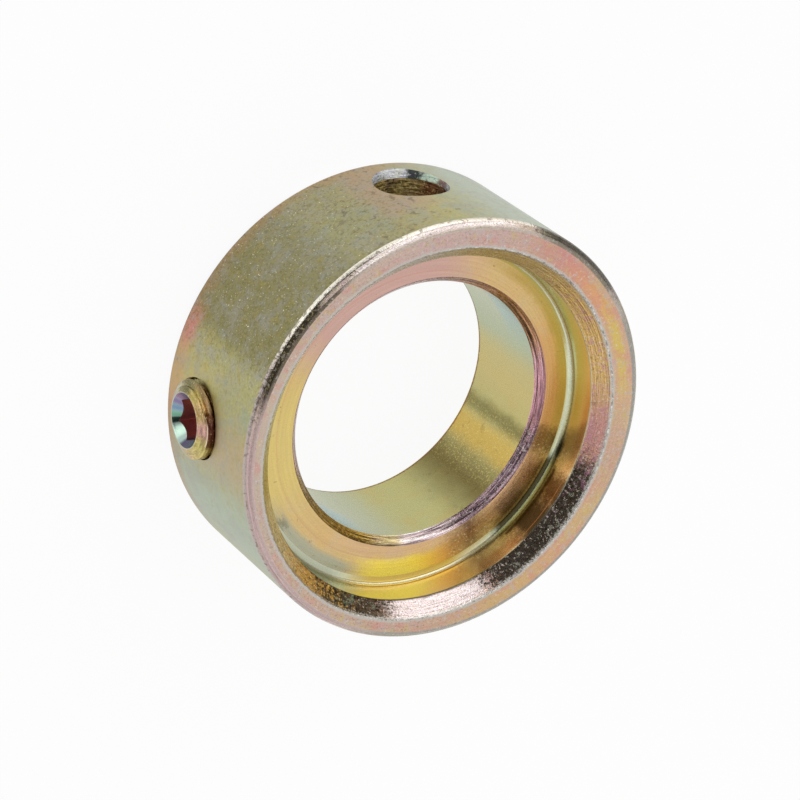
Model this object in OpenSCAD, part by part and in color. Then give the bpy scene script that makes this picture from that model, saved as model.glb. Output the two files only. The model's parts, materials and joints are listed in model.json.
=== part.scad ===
// Eccentric locking collar for the inner ring of an insert bearing.
// The ring lies on its plain back face. The Z axis is the shaft's axis and
// points to the recessed front. The X axis points out along the set screw.

/* [Ring] */
// Outer diameter of the ring
collar_d = 33.3; // [32.5:0.1:42]
// Width of the ring along the shaft
collar_w = 13.5; // [12.5:0.1:20]
// Size of the chamfer round the front outer edge
front_chamfer = 0.5; // [0.2:0.05:0.8]
// Size of the chamfer round the back outer edge
back_chamfer = 0.6; // [0.2:0.05:1.2]

/* [Bore] */
// Diameter of the shaft that the collar slides onto
shaft_d = 20; // [16:0.5:21.5]
// Play of the shaft in the bore, on the diameter
shaft_play = 0.5; // [0.1:0.05:0.8]
// Size across the bore wall of the chamfer under the recess
bore_lip_r = 0.55; // [0.2:0.05:0.8]
// Depth along the bore of the chamfer under the recess
bore_lip_h = 0.7; // [0.3:0.05:1.5]
// Size of the chamfer where the bore leaves the back face
bore_back_chamfer = 0.4; // [0.2:0.05:0.8]

/* [Eccentric recess] */
// Diameter of the recess that grips the bearing's eccentric ring
recess_d = 27.4; // [25:0.1:28]
// Depth of the recess below the front face
recess_depth = 4.1; // [2.5:0.1:4.6]
// Distance of the recess's axis from the bore's axis
recess_offset = 0.6; // [0.2:0.05:0.9]
// Direction of that offset, turned from the set screw
recess_angle = 14; // [0:1:360]
// Width across the front face of the flare round the mouth of the recess
recess_chamfer = 1.1; // [0.3:0.05:1.2]
// Depth of that flare down the wall of the recess
recess_chamfer_h = 1.3; // [0.3:0.05:1.5]
// Radius of the fillet between the wall and the floor of the recess
recess_fillet = 0.55; // [0.1:0.05:1]

/* [Radial holes] */
// Height of the set screw above the back face
screw_h = 5.1; // [4.6:0.1:5.4]
// Height of the drift hole above the back face
drift_h = 4.8; // [4.6:0.1:5.4]
// Direction of the drift hole, turned from the set screw
drift_angle = -90; // [-120:1:-60]
// Diameter of the drift hole
drift_d = 5.4; // [4:0.1:6]
// Diameter of the drift hole's countersunk mouth
drift_mouth_d = 5.9; // [5.8:0.1:7]
// Depth of the countersink below the crown of the ring
drift_mouth_h = 0.7; // [0.6:0.05:1]
// Wall left between the tip of the drift hole and the bore
drift_floor = 1.2; // [0.8:0.1:2]
// Full angle of the drill point at the bottom of the drift hole
drill_point = 118; // [90:1:135]

/* [Set screw] */
// Outer diameter of the set screw's thread
screw_d = 6; // [5.5:0.5:6.5]
// Length of the set screw
screw_l = 6; // [5:0.5:7]
// Height of the set screw's end above the ring
screw_stand = 0.9; // [0.2:0.1:1.5]
// Radial gap between the set screw and its hole
screw_play = 0.05; // [0.02:0.01:0.1]
// Width of the countersink round the set screw's hole
screw_mouth = 0.25; // [0.1:0.05:0.5]
// Size across the flats of the hexagon socket
key_size = 3; // [2:0.5:3]
// Depth of the hexagon socket down to its drill point
key_depth = 2.8; // [1.5:0.1:3]
// Turn of the hexagon about the screw's axis
key_turn = 24; // [0:1:60]
// Width of the countersink round the corners of the hexagon
key_mouth = 0.3; // [0.1:0.05:0.4]
// Slope of the countersink round the hexagon, from the end face
key_slope = 60; // [30:1:65]
// Step left round the drill point at the foot of the flats
key_step = 0.1; // [0.05:0.05:0.3]
// Width of the flat rim round the socket
end_rim = 0.1; // [0.05:0.05:0.2]
// Slope of the chamfer at the socket end, from the end face
end_slope = 30; // [20:1:45]
// Diameter of the cup point that bites the shaft
cup_d = 3; // [2:0.1:3.4]
// Full angle of the hollow in the cup point
cup_angle = 118; // [90:1:135]
// Width of the cup point's rim
cup_rim = 0.12; // [0.05:0.01:0.2]

/* [Hidden] */
$fn = 96;
collar_r = collar_d / 2;
bore_r = (shaft_d + shaft_play) / 2;
recess_r = recess_d / 2;
recess_floor_h = collar_w - recess_depth;
drift_r = drift_d / 2;
drift_tip = drift_r / tan(drill_point / 2);
screw_r = screw_d / 2;
screw_hole_r = screw_r + screw_play;
screw_end_x = collar_r + screw_stand;
key_corner_r = key_size / 2 / cos(30);
key_mouth_r = key_corner_r + key_mouth;
key_drill_r = key_size / 2 - key_step;
key_tip = key_drill_r / tan(drill_point / 2);
end_r = key_mouth_r + end_rim;
end_chamfer_h = (screw_r - end_r) * tan(end_slope);
point_r = cup_d / 2 + cup_rim;
cup_h = cup_d / 2 / tan(cup_angle / 2);
// Overrun of every cutting shape past the surface that it cuts
over = 1;

// Turns a shape drawn along Z so that it runs outwards along a radius of the ring
module along_radius(angle, height) {
    rotate([0, 0, angle])
        translate([0, 0, height])
            rotate([0, 90, 0])
                children();
}

// Half section of the plain ring with its two outer chamfers
module ring_section() {
    polygon([
        [0, 0],
        [collar_r - back_chamfer, 0],
        [collar_r, back_chamfer],
        [collar_r, collar_w - front_chamfer],
        [collar_r - front_chamfer, collar_w],
        [0, collar_w]
    ]);
}

// Half section of the shaft's bore, flared at the back face and under the recess
module bore_section() {
    polygon([
        [0, -over],
        [bore_r + bore_back_chamfer + over, -over],
        [bore_r, bore_back_chamfer],
        [bore_r, recess_floor_h - bore_lip_h],
        [bore_r + bore_lip_r, recess_floor_h],
        [bore_r + bore_lip_r, recess_floor_h + over],
        [0, recess_floor_h + over]
    ]);
}

// Half section of the recess: a flat floor, a round fillet, the wall and the flared mouth
module recess_section() {
    fillet_x = recess_r - recess_fillet;
    fillet_h = recess_floor_h + recess_fillet;
    polygon([
        [0, recess_floor_h],
        [fillet_x, recess_floor_h],
        [fillet_x, fillet_h],
        [recess_r, fillet_h],
        [recess_r, collar_w - recess_chamfer_h],
        [recess_r + recess_chamfer * (1 + over / recess_chamfer_h), collar_w + over],
        [0, collar_w + over]
    ]);
    translate([fillet_x, fillet_h])
        intersection() {
            circle(r = recess_fillet);
            translate([0, -recess_fillet])
                square(recess_fillet);
        }
}

// The space of the recess, set off the bore's axis
module recess_cut() {
    rotate([0, 0, recess_angle])
        translate([recess_offset, 0, 0])
            rotate_extrude()
                recess_section();
}

// The tapped hole of the set screw, from the outer face through to the bore
module screw_hole_cut() {
    along_radius(0, screw_h) {
        cylinder(h = collar_r + over, r = screw_hole_r);
        translate([0, 0, collar_r - screw_mouth])
            cylinder(h = screw_mouth + over, r1 = screw_hole_r, r2 = screw_hole_r + screw_mouth + over);
    }
}

// The blind hole for the drift that turns the collar tight on its bearing
module drift_hole_cut() {
    tip_x = bore_r + drift_floor;
    flare = (drift_mouth_d - drift_d) / 2 / drift_mouth_h;
    along_radius(drift_angle, drift_h) {
        translate([0, 0, tip_x])
            cylinder(h = drift_tip, r1 = 0, r2 = drift_r);
        translate([0, 0, tip_x + drift_tip])
            cylinder(h = collar_r - tip_x - drift_tip + over, r = drift_r);
        translate([0, 0, collar_r - drift_mouth_h])
            cylinder(h = drift_mouth_h + over, r1 = drift_r, r2 = drift_r + flare * (drift_mouth_h + over));
    }
}

// The turned steel ring
module collar() {
    color("#c6b775")
        difference() {
            rotate_extrude()
                ring_section();
            rotate_extrude()
                bore_section();
            recess_cut();
            screw_hole_cut();
            drift_hole_cut();
        }
}

// Half section of the screw, from its outer end at zero down to its cup point
module screw_section() {
    point_slope_h = screw_r - point_r;
    polygon([
        [0, 0],
        [end_r, 0],
        [screw_r, -end_chamfer_h],
        [screw_r, point_slope_h - screw_l],
        [point_r, -screw_l],
        [cup_d / 2, -screw_l],
        [0, cup_h - screw_l]
    ]);
}

// The hexagon socket with its countersunk mouth and its drill point
module key_socket_cut() {
    mouth_slope = tan(key_slope);
    mouth_h = (key_mouth_r - key_drill_r) * mouth_slope;
    translate([0, 0, -key_depth])
        cylinder(h = key_depth + over, r = key_corner_r, $fn = 6);
    translate([0, 0, -mouth_h])
        cylinder(h = mouth_h + over, r1 = key_drill_r, r2 = key_mouth_r + over / mouth_slope);
    translate([0, 0, -key_depth - key_tip])
        cylinder(h = key_tip, r1 = 0, r2 = key_drill_r);
}

// The set screw, with its thread as a plain cylinder
module set_screw() {
    color("#a58a52")
        along_radius(0, screw_h)
            translate([0, 0, screw_end_x])
                rotate([0, 0, key_turn])
                    difference() {
                        rotate_extrude()
                            screw_section();
                        key_socket_cut();
                    }
}

collar();
set_screw();
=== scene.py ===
import json
import math

import bpy
import numpy as np
from mathutils import Matrix, Vector


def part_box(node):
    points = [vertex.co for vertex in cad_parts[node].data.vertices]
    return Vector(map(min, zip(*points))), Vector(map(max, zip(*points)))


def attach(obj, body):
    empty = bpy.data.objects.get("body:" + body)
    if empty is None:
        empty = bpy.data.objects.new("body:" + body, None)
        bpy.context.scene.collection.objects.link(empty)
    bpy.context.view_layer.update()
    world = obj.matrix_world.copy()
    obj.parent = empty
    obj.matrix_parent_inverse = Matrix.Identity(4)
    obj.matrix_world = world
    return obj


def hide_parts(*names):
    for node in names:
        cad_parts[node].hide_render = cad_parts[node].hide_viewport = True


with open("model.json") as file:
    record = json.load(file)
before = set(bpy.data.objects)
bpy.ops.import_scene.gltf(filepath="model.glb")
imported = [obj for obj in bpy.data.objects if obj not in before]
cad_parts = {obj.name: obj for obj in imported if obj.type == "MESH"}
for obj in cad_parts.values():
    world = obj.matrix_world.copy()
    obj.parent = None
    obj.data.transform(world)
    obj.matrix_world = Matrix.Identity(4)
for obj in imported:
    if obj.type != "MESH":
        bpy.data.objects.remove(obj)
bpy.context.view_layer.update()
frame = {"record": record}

mm = 0.001                      # the sizes below are in millimetres, the scene is in metres
mounts = {mount["name"]: mount for mount in frame["record"]["mounts"]}
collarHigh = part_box("collar")[1] / mm
screwLow, screwHigh = (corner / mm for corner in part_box("set_screw"))
drillPoint = 118.0              # full angle of a twist drill's point, in degrees


# the picture: camera, floor and light

picture = {
    "aim": (0.27, 0.03, 6.6),   # the point in the middle of the picture
    "azimuth": -38.71,          # where the camera stands, in degrees from +X
    "elevation": 51.71,
    "roll": -127.67,            # the camera is tipped until the drift hole is at the top
    "distance": 247.2,
    "lens": 148.5,
    "film": 36.0,
    "near": 10.0,
    "far": 9000.0,
    "floorSize": 4000.0,
    "paperWhite": 0.95,
    "floorGlow": 0.93,          # share of the floor's white that no shadow reaches
    "floorGlowInMetal": 0.68,
    "paperRadius": 70.0,        # past this the metal mirrors the room and not the floor
    "paperFade": 1.5,           # and past this many such radii it mirrors nothing of the floor
    "roomLight": 0.80,
    "darkest": 0.03,            # the least light that the dark cloths leave
    # azimuth, its half width, elevation, its half height, soft edge, and light added by each
    # bright panel or taken away by each dark cloth that hangs round the object
    "panels": [
        (244, 30, 16, 26, 4, 0.75),
        (319, 43, 34, 12, 3, -0.77),
        (319, 43, 54, 8, 5, 0.35),
        (319, 32, 72, 10, 4, -0.50),
        (287, 11, 0, 22, 3, -0.60),
        (355, 7, 0, 22, 3, -0.72),
        (323, 25, 2, 20, 3, 0.45),
        (193, 10, -3, 14, 3, -0.70),
        (209, 8, 6, 9, 3, -0.72),
        (140, 30, 52, 18, 12, 0.15),
        (72, 32, 52, 8, 8, 0.30),
    ],
}


def addObject(name, data):
    made = bpy.data.objects.new(name, data)
    bpy.context.scene.collection.objects.link(made)
    return made


def makeCamera(p):
    azimuth, elevation, roll = (math.radians(p[key]) for key in ("azimuth", "elevation", "roll"))
    back = Vector((math.cos(azimuth) * math.cos(elevation),
                   math.sin(azimuth) * math.cos(elevation), math.sin(elevation)))
    levelRight = Vector((0, 0, 1)).cross(back).normalized()
    levelUp = back.cross(levelRight)
    up = levelUp * math.cos(roll) + levelRight * math.sin(roll)
    right = up.cross(back)
    lens = bpy.data.cameras.new("camera")
    lens.lens, lens.sensor_width = p["lens"], p["film"]
    lens.clip_start, lens.clip_end = p["near"] * mm, p["far"] * mm
    camera = addObject("camera", lens)
    place = Matrix((right, up, back)).transposed().to_4x4()
    place.translation = (Vector(p["aim"]) + back * p["distance"]) * mm
    camera.matrix_world = place
    bpy.context.scene.camera = camera


# short ways to write shader nodes

def colour(hexCode):
    # a web colour, two hexadecimal digits a channel, as linear light
    parts = [int(hexCode[i:i + 2], 16) / 255 for i in (0, 2, 4)]
    return [c / 12.92 if c <= 0.04045 else ((c + 0.055) / 1.055) ** 2.4 for c in parts] + [1.0]


def add(tree, kind, inputs=(), **settings):
    made = tree.nodes.new("ShaderNode" + kind)
    for name, value in settings.items():
        setattr(made, name, value)
    for socket, value in dict(inputs).items():
        if isinstance(value, bpy.types.NodeSocket):
            tree.links.new(value, made.inputs[socket])
        else:
            made.inputs[socket].default_value = value
    return made


def calc(tree, operation, *values):
    return add(tree, "Math", enumerate(values), operation=operation).outputs[0]


def vectorCalc(tree, operation, *values, out=0):
    return add(tree, "VectorMath", enumerate(values), operation=operation).outputs[out]


def scaled(tree, vector, factor):
    made = add(tree, "VectorMath", {0: vector, "Scale": factor}, operation="SCALE")
    return made.outputs[0]


def spread(tree, value, low, high, toLow=0.0, toHigh=1.0, kind="SMOOTHSTEP"):
    return add(tree, "MapRange", {0: value, 1: low, 2: high, 3: toLow, 4: toHigh},
               interpolation_type=kind).outputs[0]


def mixColours(tree, share, first, second):
    return add(tree, "Mix", {0: share, 6: first, 7: second}, data_type="RGBA").outputs[2]


def noise(tree, vector, scale, detail, roughness, distortion=0.0):
    return add(tree, "TexNoise", {"Vector": vector, "Scale": scale, "Detail": detail,
                                  "Roughness": roughness, "Distortion": distortion}).outputs[0]


def newGroup(name, inputs, outputs):
    # inputs and outputs give the names of the sockets by kind, with spaces between them
    group = bpy.data.node_groups.new(name, "ShaderNodeTree")
    for side, sockets in (("INPUT", inputs), ("OUTPUT", outputs)):
        for kind, labels in sockets.items():
            for label in labels.split():
                group.interface.new_socket(label, in_out=side, socket_type="NodeSocket" + kind)
    start = group.nodes.new("NodeGroupInput")
    end = group.nodes.new("NodeGroupOutput")
    return group, start.outputs, end.inputs


def giveOut(group, end, **results):
    for label, socket in results.items():
        group.links.new(socket, end[label])


def useGroup(tree, group, **inputs):
    return add(tree, "Group", inputs, node_tree=group).outputs


def emptyMaterial(name):
    material = bpy.data.materials.new(name)
    material.use_nodes = True
    material.node_tree.nodes.clear()
    return material, material.node_tree


# floor and light

def fromCamera(tree, path):
    # 1 for a ray that comes from the camera, straight or through something clear
    return calc(tree, "MAXIMUM", path["Is Camera Ray"], path["Is Transmission Ray"])


def makeFloor(p):
    half = p["floorSize"] / 2 * mm
    mesh = bpy.data.meshes.new("floor")
    corners = [(-half, -half, 0), (half, -half, 0), (half, half, 0), (-half, half, 0)]
    mesh.from_pydata(corners, [], [(0, 1, 2, 3)])
    floor = addObject("floor", mesh)
    material, tree = emptyMaterial("whiteFloor")
    path = add(tree, "LightPath").outputs
    share = calc(tree, "MAXIMUM", calc(tree, "MULTIPLY", fromCamera(tree, path), p["floorGlow"]),
                 calc(tree, "MULTIPLY", path["Is Glossy Ray"], p["floorGlowInMetal"]))
    white = (p["paperWhite"], p["paperWhite"], p["paperWhite"], 1)
    paper = add(tree, "BsdfDiffuse", {"Color": white}).outputs[0]
    glow = add(tree, "Emission", {"Color": (1, 1, 1, 1), "Strength": 1.0}).outputs[0]
    both = add(tree, "MixShader", {0: share, 1: paper, 2: glow}).outputs[0]
    # past the paper the metal looks through the floor into the room
    out = vectorCalc(tree, "LENGTH", add(tree, "TexCoord").outputs["Object"], out=1)
    past = spread(tree, out, p["paperRadius"] * mm, p["paperRadius"] * p["paperFade"] * mm)
    past = calc(tree, "MULTIPLY", past, path["Is Glossy Ray"])
    clear = add(tree, "BsdfTransparent").outputs[0]
    surface = add(tree, "MixShader", {0: past, 1: both, 2: clear}).outputs[0]
    add(tree, "OutputMaterial", {"Surface": surface})
    mesh.materials.append(material)


def makeRoom(p):
    # the room is one even light with soft bright panels and dark cloths hung round the object
    world = bpy.data.worlds.new("room")
    bpy.context.scene.world = world
    world.use_nodes = True
    tree = world.node_tree
    tree.nodes.clear()
    way = add(tree, "SeparateXYZ", {0: add(tree, "TexCoord").outputs["Generated"]}).outputs
    turn = calc(tree, "DEGREES", calc(tree, "ARCTAN2", way[1], way[0]))
    rise = calc(tree, "DEGREES", calc(tree, "ARCSINE", way[2]))
    light = p["roomLight"]
    for azimuth, wide, elevation, high, soft, gain in p["panels"]:
        # the distance round the horizon is folded so that it closes behind the object
        aside = calc(tree, "PINGPONG", calc(tree, "SUBTRACT", turn, azimuth), 180.0)
        above = calc(tree, "ABSOLUTE", calc(tree, "SUBTRACT", rise, elevation))
        mask = calc(tree, "MULTIPLY", spread(tree, aside, wide + soft, wide - soft),
                    spread(tree, above, high + soft, high - soft))
        light = calc(tree, "ADD", light, calc(tree, "MULTIPLY", mask, gain))
    light = calc(tree, "MAXIMUM", light, p["darkest"])
    seen = fromCamera(tree, add(tree, "LightPath").outputs)
    strength = add(tree, "Mix", {0: seen, 2: light, 3: 1.0}).outputs[0]
    shell = add(tree, "Background", {"Color": (1, 1, 1, 1), "Strength": strength}).outputs[0]
    add(tree, "OutputWorld", {"Surface": shell})


# surfaces from grids

rounding = {
    "steps": 6,
    "flatShare": 0.25,          # of a rounding's reach, kept flat beside it
    "flatLeast": 0.02,
}


def gridMesh(name, grid, rowFinish, loop=False, poles=False):
    # Quad (i, j) joins the point of row i and column j to the next row's and the next column's.
    # Columns always close on themselves. loop closes the rows too, as on a ring. poles draws the
    # first and the last row together to one point each, and the quads beside them to triangles.
    rows, columns = grid.shape[:2]
    i, j = np.meshgrid(np.arange(rows if loop else rows - 1), np.arange(columns), indexing="ij")
    down, along = (i + 1) % rows, (j + 1) % columns
    quads = np.stack([i * columns + j, down * columns + j, down * columns + along,
                      i * columns + along], axis=-1).reshape(-1, 4)
    points = grid.reshape(-1, 3)
    finish = np.repeat(rowFinish, columns)
    faces = quads.tolist()
    if poles:
        top, middle, bottom = quads[:columns], quads[columns:-columns], quads[-columns:]
        first, last = np.full(columns, 0), np.full(columns, (rows - 1) * columns)
        tris = np.concatenate([np.stack([first, top[:, 1], top[:, 2]], axis=1),
                               np.stack([bottom[:, 0], last, bottom[:, 3]], axis=1)])
        used = np.unique(np.concatenate([tris.ravel(), middle.ravel()]))
        renumber = np.zeros(len(points), dtype=int)
        renumber[used] = np.arange(len(used))
        points = points[used]
        finish = np.concatenate([finish[columns:-columns], finish[:columns], finish[-columns:]])
        faces = renumber[middle].tolist() + renumber[tris].tolist()
    mesh = bpy.data.meshes.new(name)
    mesh.from_pydata(points * mm, [], faces)
    mesh.polygons.foreach_set("material_index", finish.astype(np.int32))
    mesh.update()
    return mesh


def roundCorners(corners, radii, f):
    # Each corner C of a closed outline becomes an arc that touches its sides at A and B, as the
    # curve ((1-s)^2 A + 2 s (1-s) w C + s^2 B) / ((1-s)^2 + 2 s (1-s) w + s^2), w the sine of half
    # the corner. One more point on each side keeps the flat beside the arc flat when it is shaded.
    toPrevious, toNext = np.roll(corners, 1, 0) - corners, np.roll(corners, -1, 0) - corners
    previousLength = np.linalg.norm(toPrevious[:, :2], axis=1, keepdims=True)
    nextLength = np.linalg.norm(toNext[:, :2], axis=1, keepdims=True)
    product = (toPrevious[:, :2] * toNext[:, :2]).sum(1, keepdims=True)
    half = np.arccos(np.clip(product / previousLength / nextLength, -1, 1)) / 2
    reach = radii[:, None] / np.tan(half)
    outer = reach + (f["flatShare"] * reach + f["flatLeast"])
    start = corners + toPrevious / previousLength * reach
    end = corners + toNext / nextLength * reach
    s = np.linspace(0, 1, f["steps"])[None, :, None]
    w = np.sin(half)[:, :, None]
    bottom = (1 - s) ** 2 + 2 * s * (1 - s) * w + s ** 2
    arc = ((1 - s) ** 2 * start[:, None] + 2 * s * (1 - s) * w * corners[:, None]
           + s ** 2 * end[:, None]) / bottom
    before = (corners + toPrevious / previousLength * outer)[:, None]
    after = (corners + toNext / nextLength * outer)[:, None]
    return np.concatenate([before, arc, after], axis=1).reshape(-1, corners.shape[1])


def turnOutwards(mesh):
    # the enclosed volume, summed over the faces, is negative when a shape is inside out
    points = np.empty(len(mesh.vertices) * 3)
    mesh.vertices.foreach_get("co", points)
    points = points.reshape(-1, 3)
    mesh.calc_loop_triangles()
    tris = np.empty(len(mesh.loop_triangles) * 3, dtype=np.int32)
    mesh.loop_triangles.foreach_get("vertices", tris)
    a, b, c = (points[tris.reshape(-1, 3)[:, k]] for k in range(3))
    if (a * np.cross(b, c)).sum() < 0:
        mesh.flip_normals()


def shadeSmooth(mesh, sharpFrom):
    mesh.polygons.foreach_set("use_smooth", np.ones(len(mesh.polygons), dtype=bool))
    mesh.set_sharp_from_angle(angle=math.radians(sharpFrom))


def giveFinishes(mesh, names):
    for name in names:
        mesh.materials.append(finishes[name])


# the ring

bore, recess, drift = mounts["bore"], mounts["recess"], mounts["drift_hole"]
ring = {
    "outerR": float(collarHigh[0]),
    "width": float(collarHigh[2]),
    "boreR": bore["dims"]["r_mm"],
    "recessR": recess["dims"]["r_mm"],
    "recessShift": (recess["pos_m"][0] / mm, recess["pos_m"][1] / mm),
    "recessFloor": 9.4,
    "mouthAcross": 1.08,        # the recess's flare across the face, and down the wall
    "mouthDown": 1.30,
    "fillet": 0.55,
    "lipAcross": 0.55,          # the bore's flare under the recess
    "lipDown": 0.70,
    "boreBack": 0.40,
    "frontEdge": 0.50,
    "backEdge": 0.60,
    "columns": 576,
    "sharpFrom": 30.0,
    "screwHeight": 5.1,
    "driftR": drift["dims"]["r_mm"],
    "driftHeight": drift["pos_m"][2] / mm,
    "driftMouthR": 2.95,
    "driftMouthDown": 0.70,
    "driftWall": 1.2,           # steel left between the drill's tip and the bore
    "driftColumns": 160,
    "cutPast": 1.0,             # how far the drift hole's cutter stands out of the ring
}

thread = {
    "pitch": 0.75,
    "turn": 0.86,               # where the thread starts, in turns
    "crestShare": 0.14,         # of the pitch that is flat on the crest
    "flankShare": 0.74,         # of the pitch that isn't flat in the root
    "screwRoot": 2.52,
    "screwCrest": 2.975,
    "holeCrest": 2.60,
    "holeRoot": 3.03,
    "sink": 0.25,               # countersink of the tapped hole
    "sinkPlay": 0.02,
    "plainMouth": 1.70,         # depth of the tapped hole's plain mouth, clear of the run-out
    "tapIn": 1.2,               # how far the tapped hole's cutter reaches into the bore
    "tapOut": 0.8,
    "tapRows": 16,              # rows in each pitch
    "tapColumns": 144,
}

ringFinishes = ["outer", "edge", "rim", "crest", "face", "burr", "mouth", "wall", "fillet", "floor",
                "lip", "bore", "back", "drilled", "sunk", "tapped"]


def finishNumbers(names, order):
    return np.array([order.index(name) for name in names])


def threadHeight(x, angle, t):
    # 1 on the thread's crest and 0 in its root. The way from the middle of the crest to the middle
    # of the root comes from x/pitch - angle/(2 pi). Along it lie a flat crest, a straight flank h
    # and a flat root, and half of the flank is softened to h^2 (3 - 2 h).
    u = (x / t["pitch"] - angle / (2 * np.pi) + t["turn"]) % 1.0
    away = np.abs(u - 0.5) * 2
    h = 1 - np.clip((away - t["crestShare"]) / (t["flankShare"] - t["crestShare"]), 0, 1)
    return 0.5 * h + 0.5 * h * h * (3 - 2 * h)


def ringProfile(r, f):
    # the corners of the half section, up the bore and round to the back: radius, height, share of
    # the recess's shift, rounding, finish of the rounding, finish of the side that follows
    wall, floor, top = r["recessR"], r["recessFloor"], r["width"]
    corners = [
        (r["boreR"] + r["boreBack"], 0, 0, 0.08, "back", "back"),
        (r["boreR"], r["boreBack"], 0, 0.10, "bore", "bore"),
        (r["boreR"], floor - r["lipDown"], 0, 0.12, "lip", "lip"),
        (r["boreR"] + r["lipAcross"], floor, 0, 0.07, "lip", "floor"),
        (wall, floor, 1, r["fillet"], "fillet", "wall"),
        (wall, top - r["mouthDown"], 1, 0.12, "wall", "mouth"),
        # the rounding between mouth and face carries the burr with its painted highlight
        (wall + r["mouthAcross"], top, 1, 0.12, "burr", "face"),
        (r["outerR"] - r["frontEdge"], top, 0, 0.36, "rim", "edge"),
        (r["outerR"], top - r["frontEdge"], 0, 0.42, "crest", "outer"),
        (r["outerR"], r["backEdge"], 0, 0.15, "rim", "edge"),
        (r["outerR"] - r["backEdge"], 0, 0, 0.15, "rim", "back"),
    ]
    sizes = np.array([corner[:4] for corner in corners], float)
    outline = roundCorners(sizes[:, :3], sizes[:, 3], f)
    rowFinish = []
    for k, corner in enumerate(corners):
        rowFinish += [corners[k - 1][5]] + [corner[4]] * (f["steps"] - 1) + [corner[5]] * 2
    return outline, rowFinish


def driftCutter(r):
    # the blind drift hole: drill point, wall and countersink, turned about an axis along -Y, with
    # x = radius cos(angle), y = -out, z = height + radius sin(angle). Steps of a few hundredths
    # beside a corner soften it.
    holeR, sunkR, crown = r["driftR"], r["driftMouthR"], r["outerR"]
    tip = r["boreR"] + r["driftWall"]
    cone = holeR / math.tan(math.radians(drillPoint / 2))
    sunk = crown - r["driftMouthDown"]
    flare = (sunkR - holeR) / r["driftMouthDown"]
    end = crown + r["cutPast"]
    profile = np.array([(0, tip), (holeR * 0.5, tip + cone * 0.5),
                        (holeR - 0.05, tip + cone - 0.03), (holeR, tip + cone + 0.05),
                        (holeR, sunk - 0.06), (holeR + 0.012, sunk + 0.02),
                        (sunkR, crown), (sunkR + flare * r["cutPast"], end), (0, end)])
    angle = np.linspace(0, 2 * np.pi, r["driftColumns"], endpoint=False)
    radius, out = profile[:, :1], profile[:, 1:]
    grid = np.stack([radius * np.cos(angle), 0 * angle - out,
                     r["driftHeight"] + radius * np.sin(angle)], axis=-1)
    rowFinish = finishNumbers(["drilled"] * 5 + ["sunk"] * 3, ringFinishes)
    return gridMesh("drill", grid, rowFinish, poles=True)


def tapCutter(r, t):
    # the tapped hole, about an axis along +X: the radius is the female thread's, or the plain
    # mouth's or the 45 degree countersink's where that is larger, with y = radius sin(angle) and
    # z = height - radius cos(angle). The last row, outside the ring, closes in its own first point.
    crown, height = r["outerR"], r["screwHeight"]
    x = np.arange(r["boreR"] - t["tapIn"], crown + t["tapOut"], t["pitch"] / t["tapRows"])[:, None]
    angle = np.linspace(0, 2 * np.pi, t["tapColumns"], endpoint=False)[None, :]
    radius = t["holeCrest"] + (t["holeRoot"] - t["holeCrest"]) * threadHeight(x, angle, t)
    plain = np.maximum(radius, t["holeRoot"])
    radius = np.where(x > crown - t["plainMouth"], plain, radius)
    radius = np.maximum(radius, t["holeRoot"] + t["sinkPlay"] + (x - (crown - t["sink"])))
    grid = np.stack([x + 0 * radius, radius * np.sin(angle), height - radius * np.cos(angle)],
                    axis=-1)
    grid = np.concatenate([grid[:1] * [1, 0, 0] + [0, 0, height], grid])
    rowFinish = finishNumbers(["tapped"] * (len(grid) - 1), ringFinishes)
    return gridMesh("tap", grid, rowFinish, poles=True)


def makeRing(r, t, f):
    # the half section turned about Z, the recess moved by its shift: x = radius cos(angle) +
    # share shiftX, y = radius sin(angle) + share shiftY. The two holes are then cut out.
    outline, rowFinish = ringProfile(r, f)
    angle = np.linspace(0, 2 * np.pi, r["columns"], endpoint=False)
    radius, height, share = (outline[:, k:k + 1] for k in range(3))
    grid = np.stack([radius * np.cos(angle) + share * r["recessShift"][0],
                     radius * np.sin(angle) + share * r["recessShift"][1],
                     height + 0 * angle], axis=-1)
    mesh = gridMesh("ring", grid, finishNumbers(rowFinish, ringFinishes), loop=True)
    giveFinishes(mesh, ringFinishes)
    part = addObject("ring", mesh)
    for cutter in (driftCutter(r), tapCutter(r, t)):
        giveFinishes(cutter, ringFinishes)
        turnOutwards(cutter)
        tool = addObject(cutter.name, cutter)
        cut = part.modifiers.new(cutter.name, "BOOLEAN")
        cut.operation, cut.solver, cut.object = "DIFFERENCE", "MANIFOLD", tool
        graph = bpy.context.evaluated_depsgraph_get()
        result = bpy.data.meshes.new_from_object(part.evaluated_get(graph))
        part.modifiers.clear()
        part.data = result
        bpy.data.objects.remove(tool)
    part.data.name = "ring"
    shadeSmooth(part.data, r["sharpFrom"])
    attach(part, "collar")
    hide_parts("collar")


# the set screw

screw = {
    "end": float(screwHigh[0]),
    "length": float(screwHigh[0] - screwLow[0]),
    "height": float(screwHigh[2] + screwLow[2]) / 2,
    "key": 3.0,                 # across the flats
    "keyDepth": 2.8,
    "keyTurn": 24.0,
    "keyMouth": 0.30,
    "keyCorner": 0.992,         # how far the socket reaches into the hexagon's corners
    "keyStep": 0.10,            # depth of the steep edge above the hexagon's countersink
    "keySlope": 49.0,           # of that countersink, from the end face
    "drillR": 1.40,
    "rim": 0.10,
    "slope": 30.0,
    "chamferDeep": 0.48,        # where the end's chamfer comes out on the thread's crests
    "runOut": 208.0,            # where the first groove of the thread ends
    "runOutFrom": 60.0,
    "runOutSoft": 16.0,
    "runOutDepth": 1.05,
    "runOutStep": 0.1,
    "cup": 3.0,
    "cupRim": 0.12,
    "cupAngle": 118.0,
    "columns": 288,
    "threadRows": 24,           # rows in each pitch
    "sharpFrom": 28.0,
}

screwFinishes = ["thread", "end", "mouth", "socket"]


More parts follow.
